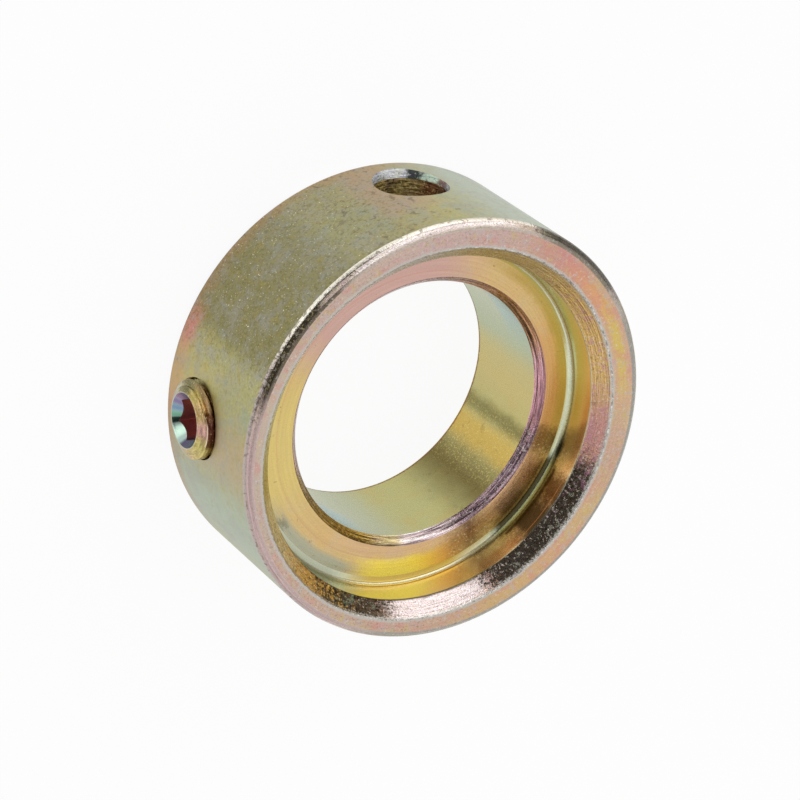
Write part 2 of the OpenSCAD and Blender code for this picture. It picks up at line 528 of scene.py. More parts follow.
def makeScrew(s, t):
    # Rows run from the drill point under the socket up its flats, over the end, down the thread and
    # into the cup. Depth is measured from the outer end, and the radius may change with the angle:
    # x = end - depth, y = radius sin(phi), z = height - radius cos(phi). Steps of a few hundredths
    # beside a corner soften it.
    phi = np.linspace(0, 2 * np.pi, s["columns"], endpoint=False)
    turn = (phi - math.radians(s["keyTurn"]) + np.pi / 6) % (np.pi / 3) - np.pi / 6
    cornerR = s["key"] / 2 / math.cos(math.pi / 6)
    hexR = s["key"] / 2 / np.cos(np.pi / 6 - np.abs(turn))
    hexR = np.minimum(hexR, cornerR * s["keyCorner"])
    mouthR = cornerR + s["keyMouth"]
    innerR, endR = mouthR - 0.04, mouthR + s["rim"]
    step, keyDepth, drillR, length = s["keyStep"], s["keyDepth"], s["drillR"], s["length"]
    tipDepth = keyDepth + drillR / math.tan(math.radians(drillPoint / 2))
    mouthDepth = step + (innerR - hexR) * math.tan(math.radians(s["keySlope"]))
    flats = np.linspace(0, 1, 7)[1:, None]
    sink = np.linspace(0, 1, 5)[1:, None]
    cupR = s["cup"] / 2
    pointR = cupR + s["cupRim"]
    cupDepth = cupR / math.tan(math.radians(s["cupAngle"] / 2))

    # the thread, whose first groove runs out where it leaves the chamfer
    depth = np.arange(0.012, length - 0.012, t["pitch"] / s["threadRows"])[:, None]
    height = threadHeight(s["end"] - depth, phi, t)
    threadR = t["screwRoot"] + (t["screwCrest"] - t["screwRoot"]) * height
    past = np.clip((math.radians(s["runOut"]) - phi) / math.radians(s["runOutSoft"]), 0, 1)
    past = past * (phi > math.radians(s["runOutFrom"]))
    past = past * np.clip((s["runOutDepth"] - depth) / s["runOutStep"], 0, 1)
    threadR = threadR + (t["screwCrest"] - threadR) * past
    # it is cut back by the end's chamfer and by the 45 degree point
    threadR = np.minimum(threadR, endR + depth / math.tan(math.radians(s["slope"])))
    threadR = np.minimum(threadR, pointR + (length - depth))

    rows = [
        ("socket", tipDepth, 0.0),
        ("socket", keyDepth + 0.02, drillR - 0.03),
        ("socket", keyDepth, drillR + 0.02),
        ("socket", keyDepth, hexR - 0.03),
        ("socket", keyDepth - 0.03, hexR),
        ("socket", keyDepth + (mouthDepth - keyDepth) * flats, hexR),
        ("mouth", mouthDepth + (step - mouthDepth) * sink, hexR + (innerR - hexR) * sink),
        ("mouth", step * 0.45, mouthR - 0.01),
        ("mouth", step * 0.15, mouthR + 0.03),
        ("end", 0.0, mouthR + 0.07),
        ("end", 0.0, endR - 0.01),
        ("thread", depth, threadR),
        ("thread", length, pointR - 0.01),
        ("thread", length, cupR + 0.01),
        ("thread", length - 0.02, cupR - 0.02),
        ("thread", length - cupDepth, 0.0),
    ]
    depths, radii, names = [], [], []
    for name, depth, radius in rows:
        depth, radius, _ = np.broadcast_arrays(np.atleast_2d(depth), radius, phi)
        depths.append(depth)
        radii.append(radius)
        names += [name] * len(depth)
    depth, radius = np.concatenate(depths), np.concatenate(radii)
    grid = np.stack([s["end"] - depth, radius * np.sin(phi), s["height"] - radius * np.cos(phi)],
                    axis=-1)
    mesh = gridMesh("setScrew", grid, finishNumbers(names[1:], screwFinishes), poles=True)
    giveFinishes(mesh, ["screw_" + name for name in screwFinishes])
    shadeSmooth(mesh, s["sharpFrom"])
    part = addObject("setScrew", mesh)
    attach(part, "set_screw")
    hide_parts("set_screw")


# the plating: effects that several finishes share

plating = {
    # each noise: cells in a millimetre, detail, roughness, distortion
    "broadNoise": (0.16, 3, 0.55, 0.6),
    "smallNoise": (0.55, 4, 0.6, 0.4),
    "mottleNoise": (5.5, 3, 0.65),
    "wanderNoise": (0.7, 3, 0.6),
    "gritNoise": (5.0, 3, 0.7),
    "burrNoise": (4.5, 4, 0.75),
    "ringNoise": (1.0, 3, 0.6),
    "grainNoise": (6.0, 3, 0.7),
    "spotNoise": (4, 0.62, 0.4),    # here each spot brings its own number of cells
    # the stretch of a noise over which its effect grows
    "broadRange": (0.42, 0.64),
    "smallRange": (0.48, 0.70),
    "mottleRange": (0.25, 0.75),
    "burrRange": (0.32, 0.66),
    "ringRange": (0.36, 0.64),
    "roughRange": (0.30, 0.70),
    "smallShift": (31, 17, 5),      # so that the small clouds don't follow the broad ones
    "spotShift": (3, 11),
    "burrReach": (0.15, 1.6),       # of an edge line's width, where its noise is low and high
    "burrCore": 0.35,               # share of that reach where it is full
    "ringCells": (2.5, 2.5, 8.0),   # rings are short across the surface and long round the axis
    "roughSpread": 0.2,
}


def placeGroup(name, centre, first, second, along):
    # where a point is about one of the four axes: its distance from the axis, its place along it,
    # and its way out from it. first and second are the directions of 0 and 90 degrees.
    group, _, end = newGroup(name, {}, {"Float": "Radius Along", "Vector": "Around Point"})
    point = scaled(group, add(group, "TexCoord").outputs["Object"], 1 / mm)
    inside = vectorCalc(group, "SUBTRACT", point, centre)
    x, y = (vectorCalc(group, "DOT_PRODUCT", inside, way, out=1) for way in (first, second))
    flat = add(group, "CombineXYZ", {0: x, 1: y}).outputs[0]
    giveOut(group, end, Radius=vectorCalc(group, "LENGTH", flat, out=1),
            Along=vectorCalc(group, "DOT_PRODUCT", point, along, out=1),
            Around=vectorCalc(group, "NORMALIZE", flat), Point=point)
    return group


def swing(tree, value):
    # a noise about its middle
    return calc(tree, "SUBTRACT", value, 0.5)


def patchGroup(p):
    # a soft patch: 1 near the given angle and between two lines across the surface, 0 away from
    # there, with an edge that wanders and is gritty
    group, start, end = newGroup(
        "ringPatch", {"Vector": "Around Point",
                      "Float": "Across Angle Half Soft Low High Band Fray Grit"}, {"Float": "Mask"})
    half, soft, band = start["Half"], start["Soft"], start["Band"]
    angle = calc(group, "RADIANS", start["Angle"])
    middle = add(group, "CombineXYZ", {0: calc(group, "COSINE", angle),
                                       1: calc(group, "SINE", angle)}).outputs[0]
    near = vectorCalc(group, "DOT_PRODUCT", start["Around"], middle, out=1)
    near = calc(group, "MINIMUM", near, 0.99999)    # the arc cosine has no value past 1
    away = calc(group, "DEGREES", calc(group, "ARCCOSINE", near))
    broad = swing(group, noise(group, start["Point"], *p["wanderNoise"]))
    fine = swing(group, noise(group, start["Point"], *p["gritNoise"]))
    wander = calc(group, "ADD", calc(group, "MULTIPLY", broad, start["Fray"]),
                  calc(group, "MULTIPLY", fine, start["Grit"]))
    mask = spread(group, calc(group, "ADD", away, wander), calc(group, "ADD", half, soft),
                  calc(group, "SUBTRACT", half, soft))
    # the lines across the surface are as soft as Band says, in mm, and wander with it
    line = calc(group, "ADD", start["Across"],
                calc(group, "MULTIPLY", broad, calc(group, "MULTIPLY", band, 2.0)))
    for side, sign in (("Low", -1), ("High", 1)):
        off = calc(group, "MULTIPLY", band, sign)
        edge = spread(group, line, calc(group, "ADD", start[side], off),
                      calc(group, "SUBTRACT", start[side], off))
        mask = calc(group, "MULTIPLY", mask, edge)
    giveOut(group, end, Mask=mask)
    return group


def wearAndHighlightGroup(p):
    # a line along an edge, for burrs and turning ridges, the pale ones with a painted highlight on
    # them: widest where the noise is high, so that it breaks up
    group, start, end = newGroup("edgeWear", {"Vector": "Point", "Float": "Across Edge Width"},
                                 {"Float": "Mask"})
    away = calc(group, "ABSOLUTE", calc(group, "SUBTRACT", start["Across"], start["Edge"]))
    rough = noise(group, start["Point"], *p["burrNoise"])
    rough = spread(group, rough, *p["burrRange"], *p["burrReach"], "LINEAR")
    reach = calc(group, "MULTIPLY", rough, start["Width"])
    core = calc(group, "MULTIPLY", reach, p["burrCore"])
    giveOut(group, end, Mask=spread(group, away, reach, core))
    return group


def tintGroup(p):
    # the chromate film's colour, and where a finish says so painted light and shade in its tints:
    # three tints in clouds, and a fine mottle
    group, start, end = newGroup(
        "chromateTint", {"Vector": "Point", "Color": "First Second Third",
                         "Float": "Clouds Mottle"}, {"Color": "Color"})
    point = start["Point"]
    shifted = vectorCalc(group, "ADD", point, p["smallShift"])
    strong = spread(group, noise(group, point, *p["broadNoise"]), *p["broadRange"])
    weak = spread(group, noise(group, shifted, *p["smallNoise"]), *p["smallRange"])
    strong, weak = (calc(group, "MULTIPLY", share, start["Clouds"]) for share in (strong, weak))
    tint = mixColours(group, strong, start["First"], start["Second"])
    tint = mixColours(group, weak, tint, start["Third"])
    dapple = noise(group, point, *p["mottleNoise"])
    dapple = spread(group, dapple, *p["mottleRange"], -1.0, 1.0, "LINEAR")
    lift = calc(group, "ADD", calc(group, "MULTIPLY", dapple, start["Mottle"]), 1.0)
    giveOut(group, end, Color=scaled(group, tint, lift))
    return group


def toolGroup(p):
    # what the lathe and the tumbling barrel left: fine rings along the cut, and grain
    group, start, end = newGroup(
        "toolMarks", {"Vector": "Around Point", "Float": "Across Rings Grain"},
        {"Float": "Height RingMask GrainMask"})
    x, y, _ = add(group, "SeparateXYZ", {0: start["Around"]}).outputs
    laid = [calc(group, "MULTIPLY", way, cells)
            for way, cells in zip((x, y, start["Across"]), p["ringCells"])]
    rings = noise(group, add(group, "CombineXYZ", enumerate(laid)).outputs[0], *p["ringNoise"])
    grain = noise(group, start["Point"], *p["grainNoise"])
    height = calc(group, "ADD", calc(group, "MULTIPLY", swing(group, rings), start["Rings"]),
                  calc(group, "MULTIPLY", swing(group, grain), start["Grain"]))
    giveOut(group, end, Height=height, RingMask=rings, GrainMask=grain)
    return group


places = {
    "ring": placeGroup("aboutRing", (0, 0, 0), (1, 0, 0), (0, 1, 0), (0, 0, 1)),
    "recess": placeGroup("aboutRecess", (*ring["recessShift"], 0),
                         (1, 0, 0), (0, 1, 0), (0, 0, 1)),
    "screw": placeGroup("aboutScrew", (0, 0, ring["screwHeight"]),
                        (0, 0, -1), (0, 1, 0), (1, 0, 0)),
    "drift": placeGroup("aboutDriftHole", (0, 0, ring["driftHeight"]),
                        (1, 0, 0), (0, 0, 1), (0, -1, 0)),
}
groups = {"patch": patchGroup(plating), "wear": wearAndHighlightGroup(plating), "tint": tintGroup(plating),
          "tool": toolGroup(plating)}


# the finishes

# what a finish has unless it says otherwise
usual = {
    "about": "ring",            # the place group that it lies in
    "across": (1, 0),
    "clouds": 0.8,
    "mottle": 0.16,
    "rings": 0.3,
    "ringShade": 0,
    "fray": 12.0,
    "grit": 8.0,
    "patches": [],
    "spots": [],
    "wear": [],
}


def plated(name, facts, p):
    # one plated finish: three tints in clouds, patches of other tints round the axis, tool marks,
    # spots in every size, and lines along edges. Besides the plating's own colours these hold
    # painted light where a finish's comments say so: painted reflections, highlights, glints and
    # shade.
    # "across" weighs the distance from the axis and the place along it into the coordinate that
    # runs across the surface, in mm, by which patches and edge lines lie.
    f = {**usual, **facts}
    material, tree = emptyMaterial(name)
    place = useGroup(tree, places[f["about"]])
    around, point = place["Around"], place["Point"]
    ofRadius, ofAlong = f["across"]
    across = calc(tree, "ADD", calc(tree, "MULTIPLY", place["Radius"], ofRadius),
                  calc(tree, "MULTIPLY", place["Along"], ofAlong))

    def patch(angle, half, soft, low=-99, high=99, lineSoft=0.2):
        return useGroup(tree, groups["patch"], Around=around, Point=point, Across=across,
                        Angle=angle, Half=half, Soft=soft, Low=low, High=high, Band=lineSoft,
                        Fray=f["fray"], Grit=f["grit"])["Mask"]

    def covered(base, code, mask, *shares):
        for share in shares:
            mask = calc(tree, "MULTIPLY", mask, share)
        return mixColours(tree, mask, base, colour(code))

    first, second, third = (colour(code) for code in f["tints"])
    base = useGroup(tree, groups["tint"], Point=point, First=first, Second=second, Third=third,
                    Clouds=f["clouds"], Mottle=f["mottle"])["Color"]
    for angle, half, soft, code, share, *lines in f["patches"]:
        base = covered(base, code, patch(angle, half, soft, *lines), share)
    marks = useGroup(tree, groups["tool"], Around=around, Point=point, Across=across,
                     Rings=f["rings"], Grain=f["grain"])
    if f["ringShade"]:
        shade = spread(tree, marks["RingMask"], *p["ringRange"],
                       1 - f["ringShade"], 1 + f["ringShade"], "LINEAR")
        base = scaled(tree, base, shade)
    for cells, start, soft, code, share, *stretch in f["spots"]:
        shifted = vectorCalc(tree, "ADD", point, (cells, *p["spotShift"]))
        spot = spread(tree, noise(tree, shifted, cells, *p["spotNoise"]), start, start + soft)
        kept = [patch(*stretch)] if stretch else []
        base = covered(base, code, spot, share, *kept)
    for edge, width, code, share in f["wear"]:
        burr = useGroup(tree, groups["wear"], Point=point, Across=across, Edge=edge, Width=width)
        base = covered(base, code, burr["Mask"], share)
    rough = spread(tree, marks["GrainMask"], *p["roughRange"],
                   f["roughness"] * (1 - p["roughSpread"]), f["roughness"] * (1 + p["roughSpread"]),
                   "LINEAR")
    bump = add(tree, "Bump", {"Height": marks["Height"], "Strength": 1.0,
                              "Distance": f["bump"] * mm}).outputs[0]
    shader = add(tree, "BsdfPrincipled", {"Base Color": base, "Metallic": 1.0,
                                          "Roughness": rough, "Normal": bump})
    add(tree, "OutputMaterial", {"Surface": shader.outputs[0]})
    return material


slant = 0.7                     # weighs radius and height across an edge of 45 degrees
mouthInner, mouthOuter = ring["recessR"], ring["recessR"] + ring["mouthAcross"]
wallTop = ring["width"] - ring["mouthDown"]
lipOuter = ring["boreR"] + ring["lipAcross"]
lipEdge = slant * (lipOuter + ring["recessFloor"])
filletMiddle = slant * (ring["recessR"] + ring["recessFloor"])
edgeMiddle = slant * (ring["outerR"] - ring["width"])
# the chamfer of the screw's end is cut by the thread, so it shares the thread's finish
chamferFoot = screw["end"] - screw["chamferDeep"]

# A patch: angle, half width and softness in degrees, tint, share, and where it lies between two
# lines across the surface, their places and their softness in mm. Spots: cells in a millimetre,
# where the noise starts to count, over what range, tint, share, and where they keep to a stretch,
# its angle, half width and softness. Wear and painted highlight: the edge's place, half width,
# tint, share. Where a finish's comment says so, patches, spots and edge lines are painted light:
# painted reflections, highlights, glints and shade.
finishFacts = {
    "outer": {
        "across": (0, 1), "tints": ("b9b47c", "c0b274", "a9b292"), "grain": 1.0, "rings": 0.25,
        "bump": 0.014, "roughness": 0.36, "fray": 4.0, "grit": 2.0,
        "patches": [
            # the dark olive patches at 320 and 297 degrees are painted shade, a painted dark
            # reflection of the room
            (320, 18, 4, "8c8556", 0.92), (297, 14, 10, "9c9a78", 0.6),
            (240, 22, 10, "bcc8b8", 0.85), (26, 14, 12, "b4c2b0", 0.85), (3, 8, 6, "c8a494", 0.4),
            (279, 7, 4, "c09c88", 0.6, 1.0, 9.5, 1.2), (348, 13, 5, "dc8c88", 0.9, -1.0, 2.3, 0.9),
            (335, 70, 20, "c0906c", 0.55, -1.0, 1.4, 1.2),
            (352, 8, 4, "cdc07c", 0.6, -1.0, 7.0, 2.0)],
        "spots": [
            (0.45, 0.44, 0.28, "a8a6a0", 0.45), (1.1, 0.46, 0.26, "a4a8a8", 0.45, 314, 34, 12),
            (1.6, 0.50, 0.24, "b09c48", 0.45), (2.6, 0.64, 0.08, "57503c", 0.35),
            (1.5, 0.57, 0.08, "6e5a46", 0.6, 282, 16, 8),
            # the dark, pale and near-white spots kept to 312 and 314 degrees are painted shade and
            # painted glints in that painted dark reflection
            (4.2, 0.50, 0.14, "6c643c", 0.45, 312, 34, 10),
            (5.6, 0.56, 0.10, "b8b090", 0.35, 312, 34, 10),
            (7.0, 0.635, 0.05, "fffae4", 0.9, 314, 28, 10)],
    },
    "edge": {
        "across": (slant, -slant), "tints": ("c8b4a4", "d4babb", "b9b294"), "mottle": 0.15,
        "grain": 1.3, "rings": 2.0, "ringShade": 0.25, "bump": 0.050, "roughness": 0.17,
        "grit": 12.0,
        "patches": [
            # the near-white patch at 280 degrees is a painted highlight; the near-black ones at
            # 330, 231 and 312 degrees are painted dark reflections
            (280, 23, 5, "fff0ec", 0.95), (330, 15, 4, "2c2816", 0.95),
            (231, 16, 4, "44402e", 0.92),
            (312, 16, 4, "2c2818", 0.85, edgeMiddle + 0.10, 99, 0.06),
            (140, 70, 8, "9c947c", 0.85), (27, 40, 8, "ccb0b0", 0.8)],
        "spots": [
            # the dark spots at 232 and 325 degrees are painted dark reflections, the pale ones at
            # 283 degrees painted glints
            (3.2, 0.54, 0.08, "1c1810", 0.8, 232, 20, 5),
            (3.2, 0.56, 0.08, "2a261c", 0.7, 325, 30, 8),
            (4.5, 0.60, 0.06, "4c4038", 0.6, 277, 26, 6),
            (5.5, 0.58, 0.07, "e8d8a8", 0.8, 283, 34, 8),
            (5.5, 0.58, 0.06, "9c8c5c", 0.7, 331, 16, 4),
            (3.6, 0.55, 0.06, "a09888", 0.7, 333, 16, 5), (5.0, 0.56, 0.10, "8c7c78", 0.4)],
    },
    "rim": {
        # the pale tints are partly a painted highlight along the rounded edges; the dark patches at
        # 328 and 231 degrees are painted dark reflections
        "tints": ("ccbcb0", "ccbcb0", "c0b8a8"), "mottle": 0.18, "grain": 1.0, "bump": 0.030,
        "roughness": 0.30,
        "patches": [
            (140, 70, 8, "a4a29a", 0.85), (328, 20, 5, "544c34", 0.8), (231, 15, 4, "706a58", 0.7),
            (27, 42, 8, "ccb2ae", 0.9)],
        "spots": [(3.2, 0.60, 0.08, "5a5446", 0.3), (5.5, 0.57, 0.07, "e4e0d8", 0.4)],
    },
    "crest": {
        # the near-white tints are a painted highlight along the crest; the dark patch at 231
        # degrees and the dark spots at 335 degrees are painted dark reflections
        "tints": ("fff8e8", "fcf4e4", "f8f4e8"), "mottle": 0.12, "grain": 1.2, "bump": 0.030,
        "roughness": 0.20,
        "patches": [
            (140, 75, 8, "a49c88", 0.85), (262, 12, 8, "d8ccbc", 0.7),
            (231, 17, 4, "4c4838", 0.85), (15, 44, 8, "b8a8a4", 0.9)],
        "spots": [
            (3.0, 0.54, 0.08, "6c6048", 0.6), (5.5, 0.60, 0.07, "c8a860", 0.5),
            (2.6, 0.52, 0.07, "4c4430", 0.7, 335, 14, 5)],
    },
    "face": {
        "about": "recess", "tints": ("cbab92", "d09c94", "ccb48a"), "clouds": 1.0, "grain": 1.0,
        "rings": 0.4, "ringShade": 0.04, "bump": 0.018, "roughness": 0.26, "fray": 10.0,
        "grit": 3.0,
        # the pale edge line by the mouth is a burr with a painted highlight on it
        "wear": [(mouthOuter + 0.07, 0.22, "c4c0b8", 0.8)],
        "patches": [
            (335, 72, 22, "c6b6a8", 0.7), (75, 24, 14, "c8ab98", 0.7),
            (115, 16, 12, "ccaa80", 0.6), (198, 20, 10, "d8b090", 0.6),
            (240, 14, 10, "cc9688", 0.6), (268, 20, 12, "ccb0ac", 0.7),
            (203, 15, 8, "d8c060", 0.75, 15.3, 16.1, 0.25),
            (222, 10, 6, "e09c70", 0.6, 15.0, 16.0, 0.3),
            (132, 24, 12, "d4b470", 0.5, 15.1, 16.2, 0.3),
            (70, 16, 8, "c4c08c", 0.5, 15.6, 99, 0.3)],
        "spots": [
            (0.8, 0.50, 0.14, "d4908a", 0.40), (1.1, 0.54, 0.12, "ccb878", 0.40),
            (1.5, 0.53, 0.14, "bdb8b8", 0.45), (4.5, 0.58, 0.08, "e6dcd4", 0.40),
            (4.0, 0.62, 0.07, "7a6458", 0.30), (6.5, 0.54, 0.10, "a08474", 0.6, 285, 40, 20),
            (6.0, 0.54, 0.10, "887c6c", 0.6, 60, 50, 20)],
    },
    "burr": {
        # pale grey with white flecks: a burr along the rounded corner, with a painted highlight on
        # it
        "tints": ("c9c6c0", "bdb8b0", "d4d0ca"), "clouds": 0.9, "mottle": 0.25, "grain": 1.0,
        "bump": 0.060, "roughness": 0.30,
        "spots": [(3.2, 0.52, 0.08, "5a5248", 0.6), (5.5, 0.54, 0.07, "f8f4f0", 0.8)],
    },
    "mouth": {
        "about": "recess", "tints": ("d8ac94", "dcb084", "d8a8a4"), "clouds": 0.9, "grain": 1.6,
        "rings": 2.4, "ringShade": 0.12, "bump": 0.032, "roughness": 0.15, "fray": 8.0,
        "grit": 26.0,
        # the pale edge line is a burr with a painted highlight on it
        "wear": [(mouthOuter, 0.20, "d0ccc4", 0.85)],
        "patches": [
            # the near-white and gold patches at 95, 31 and 47 degrees are painted highlights; the
            # near-black ones at 65, 121 and 139 degrees are painted dark reflections
            (95, 19, 4, "fcecec", 0.97), (8, 20, 10, "d4c864", 0.9), (31, 17, 6, "fff4c8", 1.0),
            (47, 8, 4, "ffd484", 0.95), (65, 14, 4, "4c4434", 0.92), (305, 50, 14, "ccdcd4", 0.9),
            (139, 25, 3, "34342c", 0.95), (121, 5, 3, "4c443c", 0.85),
            (245, 26, 10, "dcc888", 0.85), (207, 22, 10, "ecc87c", 0.8),
            (172, 8, 4, "dca0a0", 0.6), (72, 42, 6, "2c200c", 0.9, -99, mouthInner + 0.08, 0.07),
            (205, 60, 12, "e4e0d4", 0.6, -99, mouthInner + 0.05, 0.04)],
        "spots": [
            # the gold spots at 47 degrees are painted glints; the near-black ones at 62 and 138
            # degrees are painted dark reflections
            (3.2, 0.58, 0.08, "46342a", 0.35), (2.1, 0.56, 0.07, "c0c0b0", 0.5, 138, 27, 3),
            (5.0, 0.58, 0.07, "f4e4dc", 0.6), (3.4, 0.50, 0.06, "ffd06c", 0.9, 47, 14, 6),
            (4.0, 0.57, 0.06, "5c3c14", 0.8, 40, 20, 8),
            (1.8, 0.56, 0.05, "8ca08c", 0.7, 66, 9, 4),
            (4.2, 0.56, 0.08, "1c1810", 0.7, 138, 28, 3),
            (4.0, 0.54, 0.06, "1c1810", 0.8, 62, 17, 5),
            (1.4, 0.52, 0.12, "d494b4", 0.4, 190, 40, 12)],
    },
    "wall": {
        "about": "recess", "across": (0, 1), "tints": ("f8f2cc", "f4eebc", "f8f0cc"),
        "mottle": 0.05, "grain": 0.2, "rings": 0.5, "bump": 0.006, "roughness": 0.16,
        "patches": [
            # the near-black patches at 139, 143, 150 and 161.5 degrees are painted dark
            # reflections; the near-white ones at 210 and 212 degrees and the thin orange line at
            # 138 degrees are painted reflections of bright parts of the room
            (86, 16, 8, "ecf0f8", 0.7), (58, 12, 5, "dce4c4", 0.85), (212, 20, 12, "f4ffff", 0.8),
            (186, 20, 10, "f4ecb4", 0.7), (172, 14, 8, "d8a060", 0.6, 11.4, 99, 0.4),
            (139, 9, 6, "2c1c08", 0.92), (150, 5, 4, "5c3c14", 0.85), (108, 6, 8, "ffeca0", 0.7),
            (122, 6, 6, "d88848", 0.5, 11.0, 99, 0.4),
            (161.5, 3.0, 3.0, "2c3024", 0.75, 0, 10.2, 0.15),
            (210, 26, 8, "ecffe0", 0.7, 0, 11.4, 0.5),
            (143, 15, 3, "b0bc88", 0.85, 0, 10.08, 0.06),
            (143, 15, 3, "403010", 0.8, 10.12, 10.45, 0.10),
            (80, 38, 6, "30240c", 0.8, wallTop - 0.07, 99, 0.05),
            (215, 50, 12, "dcd8cc", 0.5, wallTop - 0.05, 99, 0.03),
            (138, 14, 3, "dcb080", 0.6, 11.74, 11.80, 0.03)],
    },
    "fillet": {
        "about": "recess", "across": (slant, slant), "tints": ("dce0c0", "d0d8bc", "e0dcb8"),
        "mottle": 0.08, "grain": 0.5, "rings": 0.5, "bump": 0.008, "roughness": 0.30, "fray": 6.0,
        "grit": 3.0,
        "patches": [
            # the pale bands at 94, 143 and 215 degrees are painted highlights; the dark lines and
            # patches at 92, 143, 161.5, 200 and 226 degrees are painted dark reflections
            (94, 22, 8, "dcb440", 0.85),
            (94, 24, 8, "e4e4cc", 0.9, filletMiddle + 0.02, filletMiddle + 0.25, 0.04),
            (92, 26, 6, "54481c", 0.8, filletMiddle - 0.06, filletMiddle - 0.01, 0.02),
            (92, 26, 6, "6c5c24", 0.8, filletMiddle + 0.29, filletMiddle + 0.34, 0.02),
            (46, 20, 5, "bcc0a8", 0.88), (119, 6, 4, "d8cca0", 0.6),
            (143, 16, 3, "443810", 0.94, -99, filletMiddle - 0.03, 0.03),
            (143, 16, 2, "a4a870", 0.9, filletMiddle + 0.05, 99, 0.03),
            (143, 17, 3, "14140c", 0.95, filletMiddle - 0.04, filletMiddle + 0.02, 0.02),
            (161.5, 4.0, 2.5, "2c3024", 0.92, filletMiddle + 0.10, 99, 0.08),
            (215, 26, 10, "eef0d8", 0.7),
            (226, 30, 10, "b09c44", 0.92, -99, filletMiddle - 0.10, 0.05),
            (200, 38, 4, "6c6c50", 0.7, filletMiddle + 0.24, filletMiddle + 0.29, 0.02)],
    },
    "floor": {
        "about": "recess", "tints": ("d6b880", "dab67c", "d2ba90"), "mottle": 0.05, "grain": 0.3,
        "rings": 0.8, "ringShade": 0.05, "bump": 0.006, "roughness": 0.25,
        "wear": [(lipOuter + 0.75, 0.10, "c89078", 0.25)],
        "patches": [
            (291, 37, 15, "cca4a0", 0.85), (88, 15, 8, "f8dc5c", 0.95, 11.7, 99, 0.5),
            (185, 26, 10, "d8a468", 0.7), (203, 38, 12, "b0943c", 0.65, 12.5, 99, 0.35),
            (90, 30, 10, "d8b08c", 0.6, 0, 11.4, 0.5), (108, 6, 8, "dc8c50", 0.35, 11.8, 99, 0.4),
            (5, 26, 14, "e0cc78", 0.6), (50, 20, 7, "a8ac98", 0.85, 12.2, 99, 0.35),
            (143, 15, 5, "ffcc98", 0.9), (120, 5, 10, "5c3c30", 0.85), (163, 5, 3, "5c4428", 0.7),
            # the thin dark line at 34 degrees is painted shade along the edge of the grey-green
            # patch
            (34, 2.5, 1.5, "6c6c58", 0.5, 12.4, 99, 0.2),
            (142, 16, 4, "a08430", 0.5, 12.5, 99, 0.2)],
        "spots": [
            (4.0, 0.58, 0.08, "5c3c2c", 0.4, 136, 28, 5),
            (5.5, 0.58, 0.07, "fce8c8", 0.5, 136, 28, 5), (2.4, 0.66, 0.05, "8c6c4c", 0.6)],
    },
    "lip": {
        "across": (slant, slant), "tints": ("caa09c", "c09aa0", "c8a494"), "mottle": 0.14,
        "grain": 0.9, "rings": 2.4, "ringShade": 0.85, "bump": 0.024, "roughness": 0.17,
        "wear": [(lipEdge - 0.02, 0.09, "4c2c20", 0.5)],
        "patches": [
            # the near-white patch at 102 degrees is a painted highlight
            (48, 28, 8, "a88c38", 0.9), (82, 8, 5, "ecd8a0", 0.8), (102, 14, 6, "fce4ec", 0.9),
            (139, 26, 3, "b89cac", 0.9), (182, 18, 8, "d8a0b4", 0.8), (225, 22, 12, "c49468", 0.8)],
        "spots": [
            # the dark and pale spots at 139 degrees are painted reflections; the gold spots at 46
            # degrees are painted glints
            (3.6, 0.54, 0.07, "2c2024", 0.7, 139, 28, 4),
            (4.6, 0.56, 0.07, "e4d8dc", 0.8, 139, 28, 4),
            (3.6, 0.54, 0.06, "ecc468", 0.8, 46, 26, 8), (5.5, 0.62, 0.07, "f4e8e4", 0.5)],
    },
    "bore": {
        "across": (0, 1), "tints": ("ccc484", "c8c68c", "cebe7c"), "clouds": 0.7, "mottle": 0.05,
        "grain": 0.7, "rings": 0.4, "bump": 0.010, "roughness": 0.25, "fray": 5.0, "grit": 1.5,
        "wear": [(ring["boreBack"] + 0.1, 0.14, "8c6430", 0.8)],
        "patches": [
            # the dark olive band at 131 degrees is a painted dark reflection, the gold patch at 149
            # degrees a painted highlight
            (68, 20, 10, "c0c8ac", 0.8), (207, 18, 12, "bccab0", 0.8), (180, 12, 8, "dcc888", 0.7),
            (131, 10, 14, "6c5c30", 0.93), (160, 3.5, 3, "7c7444", 0.75),
            (149, 6, 4, "e4bc58", 0.7), (56, 12, 8, "a8ccd4", 0.9, 5.2, 99, 1.4),
            (226, 18, 12, "a4c4c8", 0.75, 5.3, 99, 0.8)],
        "spots": [
            # the gold spots at 147 degrees are painted glints, the dark ones at 136 degrees part of
            # the painted dark reflection
            (7.0, 0.52, 0.12, "f0d884", 0.65, 147, 14, 8),
            (1.2, 0.58, 0.10, "6c6038", 0.3, 136, 22, 8)],
    },
    "back": {
        "tints": ("c9ac86", "cdb287", "c2a898"), "mottle": 0.08, "grain": 0.5, "rings": 1.4,
        "ringShade": 0.22, "bump": 0.012, "roughness": 0.28,
        "spots": [(0.8, 0.54, 0.10, "d4968e", 0.3), (1.5, 0.55, 0.12, "bdb4b4", 0.35)],
    },
    "drilled": {
        # the tints are darkened as painted shade inside the hole; the yellow patch at 315 degrees
        # is a painted highlight
        "about": "drift", "across": (0, 1), "tints": ("b0a470", "a08c58", "b09478"), "grain": 0.8,
        "rings": 1.6, "ringShade": 0.60, "bump": 0.060, "roughness": 0.36,
        "patches": [(190, 34, 14, "7c4438", 0.8), (315, 24, 12, "dcc474", 0.7)],
        "spots": [(3.6, 0.54, 0.08, "3c2c14", 0.7), (5.0, 0.56, 0.08, "fce8a4", 0.6)],
    },
    "sunk": {
        "about": "drift", "across": (0, 1), "tints": ("f0f0f4", "e8e8f8", "f0f4e8"), "clouds": 0.9,
        "grain": 0.8, "rings": 1.2, "ringShade": 0.25, "bump": 0.040, "roughness": 0.38,
        "patches": [
